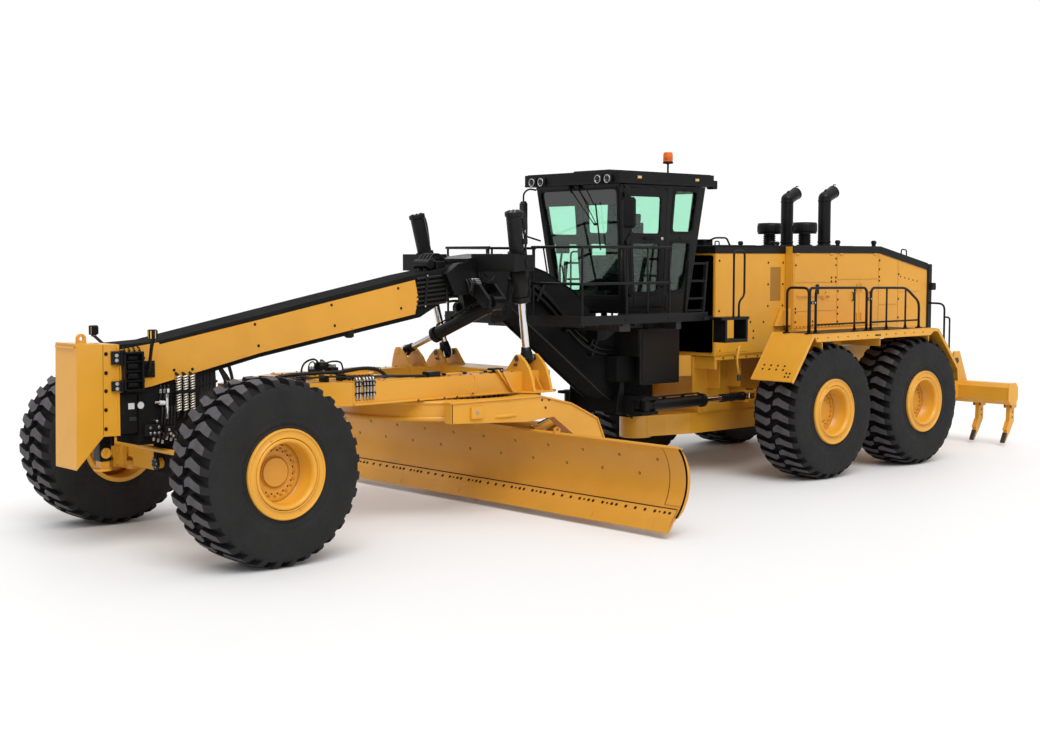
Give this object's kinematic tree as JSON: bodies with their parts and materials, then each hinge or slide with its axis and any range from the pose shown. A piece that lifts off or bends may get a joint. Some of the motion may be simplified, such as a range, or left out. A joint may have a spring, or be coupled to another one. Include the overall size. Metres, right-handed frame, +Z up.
{
  "type": "motor grader",
  "caption": "Large articulated motor grader with a long moldboard on a turning circle, leaning front wheels, tandem rear wheels and a rear ripper.",
  "frame": {"origin": "on the ground below the middle of the machine's bounding box", "axes": "+X forward towards the push block, +Y to the operator's left, +Z up"},
  "size_m": [16.217, 7.32, 4.6498],
  "materials": {
    "yellow_paint": "semi-gloss",
    "black_paint": "satin",
    "tyre_rubber": "matt",
    "chrome_rod": "polished",
    "cab_glass": "polished",
    "seat_fabric": "woven",
    "beacon_orange": "translucent",
    "engine_iron": "cast",
    "steel_dark": "dark satin"
  },
  "bodies": {
    "front_frame": {"main_beam": "black_paint", "beam_side_covers": "yellow_paint", "push_block": "yellow_paint", "front_axle": "yellow_paint", "lift_saddle": "black_paint", "cab_frame": "black_paint", "cab_roof": "black_paint", "cab_glass": "cab_glass", "operator_station": "seat_fabric", "beacon": "beacon_orange", "platforms": "black_paint", "front_handrails": "black_paint", "ladders": "black_paint"},
    "rear_frame": {"rear_frame": "yellow_paint", "engine_block": "engine_iron", "tandem_cases": "yellow_paint", "hood": "yellow_paint", "fenders": "yellow_paint", "rear_handrails": "black_paint", "exhaust_stacks": "black_paint", "pre_cleaners": "black_paint"},
    "lean_yoke_left": {"lean_yoke_left": "yellow_paint"},
    "lean_yoke_right": {"lean_yoke_right": "yellow_paint"},
    "knuckle_left": {"knuckle_left": "yellow_paint"},
    "knuckle_right": {"knuckle_right": "yellow_paint"},
    "tie_rod_end": {"tie_rod_end": "steel_dark"},
    "tie_rod": {"tie_rod": "yellow_paint"},
    "lean_bar": {"lean_bar": "yellow_paint"},
    "drawbar": {"drawbar": "yellow_paint"},
    "circle": {"circle": "yellow_paint"},
    "blade_carrier": {"blade_carrier": "yellow_paint"},
    "tip_barrels": {"tip_barrels": "yellow_paint"},
    "tip_rods": {"tip_rods": "chrome_rod"},
    "blade": {"blade": "yellow_paint"},
    "lift_barrels": {"lift_barrels": "black_paint"},
    "lift_rod_left": {"lift_rod_left": "chrome_rod"},
    "lift_rod_right": {"lift_rod_right": "chrome_rod"},
    "shift_barrel": {"shift_barrel": "black_paint"},
    "shift_rod": {"shift_rod": "chrome_rod"},
    "articulation_barrel_left": {"articulation_barrel_left": "black_paint"},
    "articulation_barrel_right": {"articulation_barrel_right": "black_paint"},
    "articulation_rod_left": {"articulation_rod_left": "chrome_rod"},
    "articulation_rod_right": {"articulation_rod_right": "chrome_rod"},
    "ripper": {"ripper": "yellow_paint"},
    "ripper_barrels": {"ripper_barrels": "yellow_paint"},
    "ripper_rods": {"ripper_rods": "chrome_rod"},
    "cab_door_left": {"cab_door_left": "black_paint"},
    "cab_door_right": {"cab_door_right": "black_paint"},
    "wheel_front_left": {"tyre_front_left": "tyre_rubber", "rim_front_left": "yellow_paint"},
    "wheel_front_right": {"tyre_front_right": "tyre_rubber", "rim_front_right": "yellow_paint"},
    "wheel_middle_left": {"tyre_middle_left": "tyre_rubber", "rim_middle_left": "yellow_paint"},
    "wheel_middle_right": {"tyre_middle_right": "tyre_rubber", "rim_middle_right": "yellow_paint"},
    "wheel_rear_left": {"tyre_rear_left": "tyre_rubber", "rim_rear_left": "yellow_paint"},
    "wheel_rear_right": {"tyre_rear_right": "tyre_rubber", "rim_rear_right": "yellow_paint"}
  },
  "joints": [
    {"name": "articulation", "type": "hinge", "parent": "front_frame", "child": "rear_frame", "pos_m": [-0.6485, 0, 1], "axis": [0, 0, 1], "range_deg": [-25, 25]},
    {"name": "articulation_swing_left", "type": "hinge", "parent": "front_frame", "child": "articulation_barrel_left", "pos_m": [-0.0385, 0.75, 1.12], "axis": [0, 0, 1], "range_deg": [-18.76, 18.76]},
    {"name": "articulation_stroke_left", "type": "slide", "parent": "articulation_barrel_left", "child": "articulation_rod_left", "axis": [-0.9998, -0.0215, 0], "range_m": [-0.3286, 0.3286]},
    {"name": "articulation_swing_right", "type": "hinge", "parent": "front_frame", "child": "articulation_barrel_right", "pos_m": [-0.0385, -0.75, 1.12], "axis": [0, 0, 1], "range_deg": [-18.76, 18.76]},
    {"name": "articulation_stroke_right", "type": "slide", "parent": "articulation_barrel_right", "child": "articulation_rod_right", "axis": [-0.9998, 0.0215, 0], "range_m": [-0.3286, 0.3286]},
    {"name": "wheel_lean_left", "type": "hinge", "parent": "front_frame", "child": "lean_yoke_left", "pos_m": [6.7515, 1.12, 0.93], "axis": [1, 0, 0], "range_deg": [-18, 18]},
    {"name": "wheel_lean_right", "type": "hinge", "parent": "front_frame", "child": "lean_yoke_right", "pos_m": [6.7515, -1.12, 0.93], "axis": [1, 0, 0], "range_deg": [-18.5, 18.5]},
    {"name": "lean_bar_left_pin", "type": "hinge", "parent": "lean_yoke_left", "child": "lean_bar", "pos_m": [7.0415, 1.12, 1.05], "axis": [1, 0, 0], "range_deg": [-18.5, 18.5]},
    {"name": "steering_left", "type": "hinge", "parent": "lean_yoke_left", "child": "knuckle_left", "pos_m": [6.7515, 1.12, 0.93], "axis": [0, 0, 1], "range_deg": [-47.5, 47.5]},
    {"name": "steering_right", "type": "hinge", "parent": "lean_yoke_right", "child": "knuckle_right", "pos_m": [6.7515, -1.12, 0.93], "axis": [0, 0, 1], "range_deg": [-48, 48]},
    {"name": "tie_rod_stud", "type": "hinge", "parent": "knuckle_left", "child": "tie_rod_end", "pos_m": [6.3515, 1.12, 0.64], "axis": [0, 0, 1], "range_deg": [-48, 48]},
    {"name": "tie_rod_fork", "type": "hinge", "parent": "tie_rod_end", "child": "tie_rod", "pos_m": [6.3515, 1.12, 0.64], "axis": [1, 0, 0], "range_deg": [-18.5, 18.5]},
    {"name": "spin_front_left", "type": "hinge", "parent": "knuckle_left", "child": "wheel_front_left", "pos_m": [6.7515, 1.755, 0.973], "axis": [0, 1, 0], "continuous": true},
    {"name": "spin_front_right", "type": "hinge", "parent": "knuckle_right", "child": "wheel_front_right", "pos_m": [6.7515, -1.755, 0.973], "axis": [0, 1, 0], "continuous": true},
    {"name": "spin_middle_left", "type": "hinge", "parent": "rear_frame", "child": "wheel_middle_left", "pos_m": [-2.5125, 1.755, 0.973], "axis": [0, 1, 0], "continuous": true},
    {"name": "spin_middle_right", "type": "hinge", "parent": "rear_frame", "child": "wheel_middle_right", "pos_m": [-2.5125, -1.755, 0.973], "axis": [0, 1, 0], "continuous": true},
    {"name": "spin_rear_left", "type": "hinge", "parent": "rear_frame", "child": "wheel_rear_left", "pos_m": [-4.8095, 1.755, 0.973], "axis": [0, 1, 0], "continuous": true},
    {"name": "spin_rear_right", "type": "hinge", "parent": "rear_frame", "child": "wheel_rear_right", "pos_m": [-4.8095, -1.755, 0.973], "axis": [0, 1, 0], "continuous": true},
    {"name": "drawbar_lift", "type": "hinge", "parent": "front_frame", "child": "drawbar", "pos_m": [6.3315, 0, 1.3], "axis": [0, 1, 0], "range_deg": [-6, 7]},
    {"name": "lift_swing", "type": "hinge", "parent": "front_frame", "child": "lift_barrels", "pos_m": [2.4845, 0, 3.1], "axis": [0, 1, 0], "range_deg": [-1.68, 1.88]},
    {"name": "lift_stroke_left", "type": "slide", "parent": "lift_barrels", "child": "lift_rod_left", "axis": [-0.1984, -0.0799, -0.9769], "range_m": [-0.5127, 0.4409]},
    {"name": "lift_stroke_right", "type": "slide", "parent": "lift_barrels", "child": "lift_rod_right", "axis": [-0.1984, 0.0799, -0.9769], "range_m": [-0.5127, 0.4409]},
    {"name": "shift_swing", "type": "hinge", "parent": "front_frame", "child": "shift_barrel", "pos_m": [2.6015, 0.62, 2.59], "axis": [0.9541, 0.2362, -0.184], "range_deg": [-14.32, 12.35]},
    {"name": "shift_stroke", "type": "slide", "parent": "shift_barrel", "child": "shift_rod", "axis": [0.1494, -0.9081, -0.3913], "range_m": [-0.1502, 0.1301]},
    {"name": "circle_turn", "type": "hinge", "parent": "drawbar", "child": "circle", "pos_m": [3.0515, 0, 1.33], "axis": [0, 0, 1], "range_deg": [-50, 50]},
    {"name": "blade_tip", "type": "hinge", "parent": "circle", "child": "blade_carrier", "pos_m": [2.1315, 0, 0.42], "axis": [0, 1, 0], "range_deg": [-5, 30]},
    {"name": "blade_side_shift", "type": "slide", "parent": "blade_carrier", "child": "blade", "axis": [0, 1, 0], "range_m": [-0.6, 0.6]},
    {"name": "tip_swing", "type": "hinge", "parent": "circle", "child": "tip_barrels", "pos_m": [1.5715, 0, 1.06], "axis": [0, 1, 0], "range_deg": [-0.73, 1.88]},
    {"name": "tip_stroke", "type": "slide", "parent": "tip_barrels", "child": "tip_rods", "axis": [0.9566, 0, -0.2915], "range_m": [-0.049, 0.244]},
    {"name": "ripper_lift", "type": "hinge", "parent": "rear_frame", "child": "ripper", "pos_m": [-6.8085, 0, 0.96], "axis": [0, 1, 0], "range_deg": [-5, 30]},
    {"name": "ripper_swing", "type": "hinge", "parent": "rear_frame", "child": "ripper_barrels", "pos_m": [-6.8185, 0, 1.62], "axis": [0, 1, 0], "range_deg": [-5.39, 29.83]},
    {"name": "ripper_stroke", "type": "slide", "parent": "ripper_barrels", "child": "ripper_rods", "axis": [-0.9726, 0, -0.2326], "range_m": [-0.3525, 0.0671]},
    {"name": "door_left", "type": "hinge", "parent": "front_frame", "child": "cab_door_left", "pos_m": [0.26226, 0.73323, 2.49885], "axis": [0.14, 0.0644, 0.9881], "range_deg": [-55, 0]},
    {"name": "door_right", "type": "hinge", "parent": "front_frame", "child": "cab_door_right", "pos_m": [0.26226, -0.73323, 2.49885], "axis": [0.14, -0.0644, 0.9881], "range_deg": [0, 55]}
  ],
  "couplings": [
    {"joint": "articulation_swing_left", "follows": "articulation", "ratio": 0.73042},
    {"joint": "articulation_stroke_left", "follows": "articulation", "m_per_rad": 0.73024},
    {"joint": "articulation_swing_right", "follows": "articulation", "ratio": 0.73042},
    {"joint": "articulation_stroke_right", "follows": "articulation", "m_per_rad": -0.73024},
    {"joint": "wheel_lean_right", "follows": "wheel_lean_left", "ratio": 1},
    {"joint": "lean_bar_left_pin", "follows": "wheel_lean_left", "ratio": -1},
    {"joint": "steering_right", "follows": "steering_left", "ratio": 1},
    {"joint": "tie_rod_stud", "follows": "steering_left", "ratio": -1},
    {"joint": "tie_rod_fork", "follows": "wheel_lean_left", "ratio": -1},
    {"joint": "lift_swing", "follows": "drawbar_lift", "ratio": 0.19685},
    {"joint": "lift_stroke_left", "follows": "drawbar_lift", "m_per_rad": -4.1143},
    {"joint": "lift_stroke_right", "follows": "drawbar_lift", "m_per_rad": -4.1143},
    {"joint": "shift_swing", "follows": "drawbar_lift", "ratio": -1.9746},
    {"joint": "shift_stroke", "follows": "drawbar_lift", "m_per_rad": -1.1473},
    {"joint": "tip_swing", "follows": "blade_tip", "ratio": 0.046025},
    {"joint": "tip_stroke", "follows": "blade_tip", "m_per_rad": 0.44697},
    {"joint": "ripper_swing", "follows": "ripper_lift", "ratio": 0.9777},
    {"joint": "ripper_stroke", "follows": "ripper_lift", "m_per_rad": -0.65415}
  ]
}
